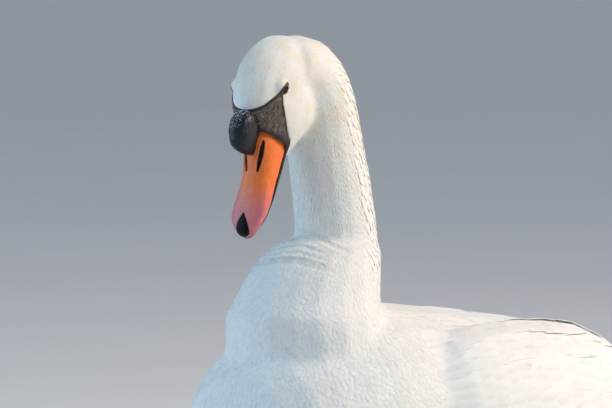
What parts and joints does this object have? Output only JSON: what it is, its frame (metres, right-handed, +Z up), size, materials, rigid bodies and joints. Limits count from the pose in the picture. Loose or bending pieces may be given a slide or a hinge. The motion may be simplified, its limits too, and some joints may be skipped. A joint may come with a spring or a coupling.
{
  "type": "mute swan",
  "caption": "Life-size mute swan resting on its belly, neck raised in an S, head turned and bill pointing down; a still display model.",
  "frame": {"origin": "on the floor under the middle of the belly, on the bird's midline", "axes": "-Y is where the bird's breast faces, +X is its left side, +Z is up"},
  "size_m": [0.3142, 0.799, 0.4999],
  "materials": {
    "white_plumage": "close white feathers, soft and matt, bluish in shade",
    "warm_plumage": "short dense feathers stained cream on the head and neck",
    "orange_horn": "satin orange horn that pales to pink near the tip",
    "black_horn": "satin black horn",
    "black_skin": "finely grained black bare skin with a low sheen",
    "eye": "wet dark brown eye with a clear gloss",
    "foot_skin": "scaled dark grey webbed skin, matt"
  },
  "bodies": {
    "root": {"trunk": "white_plumage", "wing_left": "white_plumage", "wing_right": "white_plumage", "wing_tips_left": "white_plumage", "wing_tips_right": "white_plumage", "tail": "white_plumage", "neck_lower": "white_plumage", "neck_middle": "warm_plumage", "neck_upper": "warm_plumage", "head": "warm_plumage", "bill_upper": "orange_horn", "bill_lower": "black_horn", "nail": "black_horn", "knob": "black_skin", "eye_left": "eye", "eye_right": "eye", "leg_left": "foot_skin", "leg_right": "foot_skin", "foot_left": "foot_skin", "foot_right": "foot_skin"}
  },
  "joints": []
}
